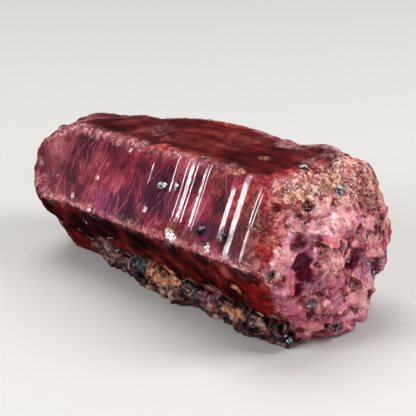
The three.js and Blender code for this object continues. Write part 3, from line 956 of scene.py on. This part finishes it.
def carveRind(made):
    points, normals, _ = readMesh(made.data)
    warped = points + 0.35 * np.stack([waves(points, 1.1, s) for s in (21, 22, 23)], axis=1)
    chip, chipTone, _ = facets(warped, rind["chipMm"], 25, rind["chipStep"], 0.5, 0.25)
    grit, _, _ = facets(warped, rind["gritMm"], 24, rind["gritStep"], 0.5, 0.1)
    height = 0.05 + rind["lumpStep"] * waves(points, rind["lumpMm"], 28) + chip + grit
    low, high = np.array(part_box("matrix_rind")) / mm
    height -= rind["taperMm"] * fade(points[:, 0], high[0] - 4, high[0])
    moved = swell(points, normals, rind["swells"]) + normals * height[:, None]
    far = fade(-points[:, 0], 6, 13)[:, None]
    inward = np.array([0, 0.86, 0.51])  # into the crystal behind it
    moved += inward * rind["sinkMm"] * far
    moved = np.clip(moved, low - rind["proudLowMm"], high + rind["proudHighMm"])
    ragged = 0.35 * waves(points, 1.6, 26) + 0.2 * waves(points, 0.6, 27)
    paint = {name: patches(points, places, ragged) for name, places in rock["masses"].items()}
    paint["chipTone"] = chipTone
    writeMesh(made.data, moved, paint)


def rockMaterial():
    material, tree = newMaterial("mica schist, broken")
    inMm = placeInMm(tree)
    chip = addNode(tree, "Attribute", attribute_name="chipTone").outputs["Fac"]
    dust = addNode(tree, "TexNoise", {
        "Vector": inMm, "Scale": 1 / rock["dustMm"], "Detail": 4.0, "Roughness": 0.65,
    })
    speck = addNode(tree, "MapRange", {0: dust, 1: 0.3, 2: 0.7, 3: 0.45, 4: 1.5})
    colour = addNode(tree, "VectorMath", {0: paintRock(tree, inMm), "Scale": speck}, operation="SCALE")
    gloss = addNode(tree, "MapRange", {0: chip, 1: 0.0, 2: 1.0, 3: rock["gloss"][0], 4: rock["gloss"][1]})
    normal = addNode(tree, "Bump", {"Distance": rock["reliefMm"] * mm, "Height": dust})
    shader = addNode(tree, "BsdfPrincipled", {
        "Base Color": colour, "Roughness": gloss, "Normal": normal,
        "IOR": rock["ior"], "Specular IOR Level": rock["shine"],
    })
    addNode(tree, "OutputMaterial", {"Surface": shader})
    return material


# a tree of a mesh's faces, for finding the nearest one
def faceTree(made):
    mesh = made.data
    return BVHTree.FromPolygons(
        [v.co.copy() for v in mesh.vertices], [tuple(p.vertices) for p in mesh.polygons],
    )


# Biotite mica: thin six-sided plates, cleaved into small books and half sunk in the stone. Each plate is near
# black, and where it faces a light it glints blue-grey to white; its paler plates and specks are painted
# glints.
mica = {
    # x, y, z and width in mm, and how pale each is with painted glint
    "placed": [
        (1.1, -7.2, 15.6, 1.5, 0.5), (3.2, -7.3, 16.0, 1.4, 0.2), (8.8, -9.4, 13.2, 1.6, 0.7),
        (12.3, -9.7, 13.5, 1.4, 0.2), (5.5, -5.1, 19.6, 1.2, 0.4), (16.6, -1.2, 20.5, 1.2, 0.8),
        (-11.4, -7.8, 7.7, 1.3, 0.5), (-7.7, -7.0, 6.0, 1.4, 0.4), (19.9, 1.1, 17.5, 1.2, 0.7),
        (19.7, -5.0, 15.7, 0.5, 0.9), (22.0, -1.3, 12.5, 0.9, 0.7), (19.7, -10.0, 11.5, 1.0, 0.6),
        (20.1, -7.9, 9.5, 0.5, 0.4), (20.8, -4.5, 6.0, 1.2, 0.5), (22.0, 5.0, 6.6, 0.7, 0.2),
        (21.6, -0.5, 1.6, 1.4, 0.6), (19.2, -4.1, 0.9, 0.9, 0.3), (18.9, -6.3, 2.8, 0.8, 0.4),
    ],
    "scattered": 46,  # more of them, all round
    "scatteredMm": (0.5, 1.2),
    "onRind": 100,
    "onRindMm": (0.4, 1.0),
    "leaves": (4, 7),  # from how many plates a book has to fewer than how many
    "placedDepth": 1.0,  # how many plates of a book lie below the surface
    "scatteredDepth": 1.8,
    "thickMm": 0.07,
    "tilt": 0.38,  # how loosely the plates lie
    "seed": 12,
    "ior": 1.6,
    "gloss": (0.10, 0.3),
    "dustMm": 0.22,
    "reliefMm": 0.14,
    # near black to blue-grey; the palest stops are painted glints
    "colours": [(0.2, "#08090a"), (0.45, "#1b2124"), (0.7, "#48565c"), (0.92, "#c2ccd0")],
}


# where the books lie: place, the way each faces, width, how pale, and how many plates deep
def micaSpots(random):
    crystalTree = faceTree(crystalSkin)
    spots = []
    for x, y, z, width, tone in mica["placed"]:
        at, facing, _, _ = crystalTree.find_nearest(Vector((x, y, z)) * mm)
        spots.append((at, facing, width, tone, mica["placedDepth"]))
    towardFront = Vector((0.1, -0.75, 0.65))
    for skin, count in ((crystalSkin, mica["scattered"]), (rindSkin, mica["onRind"])):
        polygons = skin.data.polygons
        rich = skin.data.attributes["micaRich"].data
        widths = mica["onRindMm"] if skin is rindSkin else mica["scatteredMm"]
        while count:
            face = polygons[int(random.integers(len(polygons)))]
            facing = face.normal.dot(towardFront)
            # none more on the front, few on the break, and few on the rind outside its mica-rich masses
            seen = skin is crystalSkin and facing > (0.3 if face.normal.x > 0.6 else -0.3)
            bare = skin is rindSkin and rich[face.vertices[0]].value < 0.2 and random.random() < 0.85
            if seen or bare or face.center.z < 0.6 * mm:
                continue
            width = random.uniform(*widths)
            spots.append((
                face.center.copy(), face.normal.copy(), width, random.uniform(0, 0.5), mica["scatteredDepth"],
            ))
            count -= 1
    return spots


# adds one six-sided plate, the leaf-th of its book; scattered books are tighter than the placed ones
def addLeaf(shape, random, leaf, at, facing, width, depth):
    loose = mica["tilt"] * (1 if depth == mica["placedDepth"] else 0.6)
    up = (facing + Vector(random.normal(0, loose, 3))).normalized()
    side = up.orthogonal().normalized()
    other = up.cross(side)
    turn = random.uniform(0, math.tau)
    radii = width / 2 * random.uniform(0.5, 1.15, 6) * random.uniform(0.5, 0.95)
    narrow = random.uniform(0.45, 1.0)
    slide = Vector(random.normal(0, 0.12, 3)) * width
    bottom = []
    top = []
    for k, radius in enumerate(radii):
        angle = turn + k * math.tau / 6
        flat = side * math.cos(angle) * radius + other * math.sin(angle) * radius * narrow
        foot = at + (flat + slide + up * (leaf * 0.8 - depth) * mica["thickMm"]) * mm
        bottom.append(shape.verts.new(foot))
        top.append(shape.verts.new(foot + up * mica["thickMm"] * mm))
    shape.faces.new(top)
    shape.faces.new(bottom[::-1])
    for k in range(6):
        shape.faces.new((bottom[k], bottom[(k + 1) % 6], top[(k + 1) % 6], top[k]))


def buildMica():
    random = np.random.default_rng(mica["seed"])
    shape = bmesh.new()
    tones = []
    for at, facing, width, tone, depth in micaSpots(random):
        for leaf in range(int(random.integers(*mica["leaves"]))):
            addLeaf(shape, random, leaf, at, facing, width, depth)
            tones += [np.clip(tone + random.normal(0, 0.25), 0, 1)] * 12  # for its 12 corners
    for vert in shape.verts:
        vert.co = Vector(np.clip(vert.co, cadLow, cadHigh))
    made = addObject(shape, "mica", smooth=False)
    layer = made.data.attributes.new("tone", "FLOAT", "POINT")
    layer.data.foreach_set("value", np.array(tones, np.float32))
    return made


def micaMaterial():
    material, tree = newMaterial("biotite mica, cleaved")
    inMm = placeInMm(tree)
    tone = addNode(tree, "Attribute", attribute_name="tone").outputs["Fac"]
    dust = addNode(tree, "TexNoise", {"Vector": inMm, "Scale": 1 / mica["dustMm"], "Detail": 3.0})
    shaken = addNode(tree, "Math", {0: dust, 1: 1.6, 2: tone}, operation="MULTIPLY_ADD")
    shaken = addNode(tree, "Math", {0: shaken, 1: 0.72}, operation="SUBTRACT")
    colour = setStops(addNode(tree, "ValToRGB", {0: shaken}), mica["colours"])
    gloss = addNode(tree, "MapRange", {0: dust, 1: 0.3, 2: 0.7, 3: mica["gloss"][0], 4: mica["gloss"][1]})
    normal = addNode(tree, "Bump", {"Distance": mica["reliefMm"] * mm, "Height": dust})
    shader = addNode(tree, "BsdfPrincipled", {
        "Base Color": colour, "Roughness": gloss, "Normal": normal, "IOR": mica["ior"],
    })
    addNode(tree, "OutputMaterial", {"Surface": shader})
    return material


rindSkin = fineCopy("matrix_rind", "rind", cuts=5, rounds=5)
carveRind(rindSkin)
rindSkin.data.materials.clear()
rindSkin.data.materials.append(rockMaterial())
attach(rindSkin, "root")
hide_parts("matrix_rind")
print("rind carved:", len(rindSkin.data.polygons), "faces")

crystalSkin = fineCopy("ruby_crystal", "crystal", cuts=4, rounds=18)
carveCrystal(crystalSkin, faceTree(rindSkin))
crystalSkin.data.materials.clear()
crystalSkin.data.materials.append(rubyMaterial())
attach(crystalSkin, "root")
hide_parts("ruby_crystal")
print("crystal carved:", len(crystalSkin.data.polygons), "faces")

micaFlakes = buildMica()
micaFlakes.data.materials.append(micaMaterial())
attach(micaFlakes, "root")
print("mica placed:", len(micaFlakes.data.polygons), "faces")


studio = {
    "floorHex": "#c4c2bf",
    "floor": 0.5,  # half its width, in m
    "worldHex": "#e2e1df",
    "world": 0.12,  # as it lights the stone
    "mirrored": 0.035,  # as the stone mirrors it
    "backdrop": 0.78,  # as the eye sees it past the floor
    # each light: the way to it from the crystal, distance and size in m, watts
    "lights": {
        "step glint": ((-0.49, -0.79, 0.36), 0.32, 0.12, 0.9),
        "key overhead": ((-0.30, 0.10, 0.95), 1.3, 0.9, 13.0),
        "rim light": ((0.60, 0.42, 0.68), 0.34, 0.14, 0.8),
        "break fill": ((0.88, -0.30, 0.42), 0.36, 0.16, 0.25),
    },
}


def buildStudio():
    shape = bmesh.new()
    bmesh.ops.create_grid(shape, x_segments=1, y_segments=1, size=studio["floor"])
    floor = addObject(shape, "floor", smooth=False)
    material, tree = newMaterial("matt studio paper")  # uncoated: an even tone with soft shadows
    shader = addNode(tree, "BsdfPrincipled", {
        "Base Color": linear(studio["floorHex"]), "Roughness": 0.85, "IOR": 1.45,
    })
    addNode(tree, "OutputMaterial", {"Surface": shader})
    floor.data.materials.append(material)
    floor.visible_glossy = False  # keeps its pale haze off the stone's sides

    middle = (cadLow + cadHigh) / 2
    for name, (way, distance, size, watts) in studio["lights"].items():
        lamp = bpy.data.lights.new(name, "AREA")
        lamp.size = size
        lamp.energy = watts
        light = bpy.data.objects.new(name, lamp)
        bpy.context.scene.collection.objects.link(light)
        toward = Vector(way).normalized()
        light.location = middle + toward * distance
        light.rotation_mode = "QUATERNION"
        light.rotation_quaternion = (-toward).to_track_quat("-Z", "Y")

    world = bpy.data.worlds.new("studio")
    bpy.context.scene.world = world
    world.use_nodes = True
    tree = world.node_tree
    tree.nodes.clear()
    way = addNode(tree, "TexCoord").outputs["Generated"]
    height = addNode(tree, "SeparateXYZ", {0: way}).outputs["Z"]
    strength = addNode(tree, "MapRange", {0: height, 1: -0.1, 2: 0.1, 3: 0.0, 4: studio["world"]})
    path = addNode(tree, "LightPath").outputs
    strength = addNode(tree, "Mix", {0: path["Is Glossy Ray"], 2: strength, 3: studio["mirrored"]})
    strength = addNode(tree, "Mix", {0: path["Is Camera Ray"], 2: strength, 3: studio["backdrop"]})
    background = addNode(tree, "Background", {0: linear(studio["worldHex"]), 1: strength})
    addNode(tree, "OutputWorld", {0: background})
    bpy.context.scene.view_settings.view_transform = "Standard"


buildStudio()
print("studio lit")
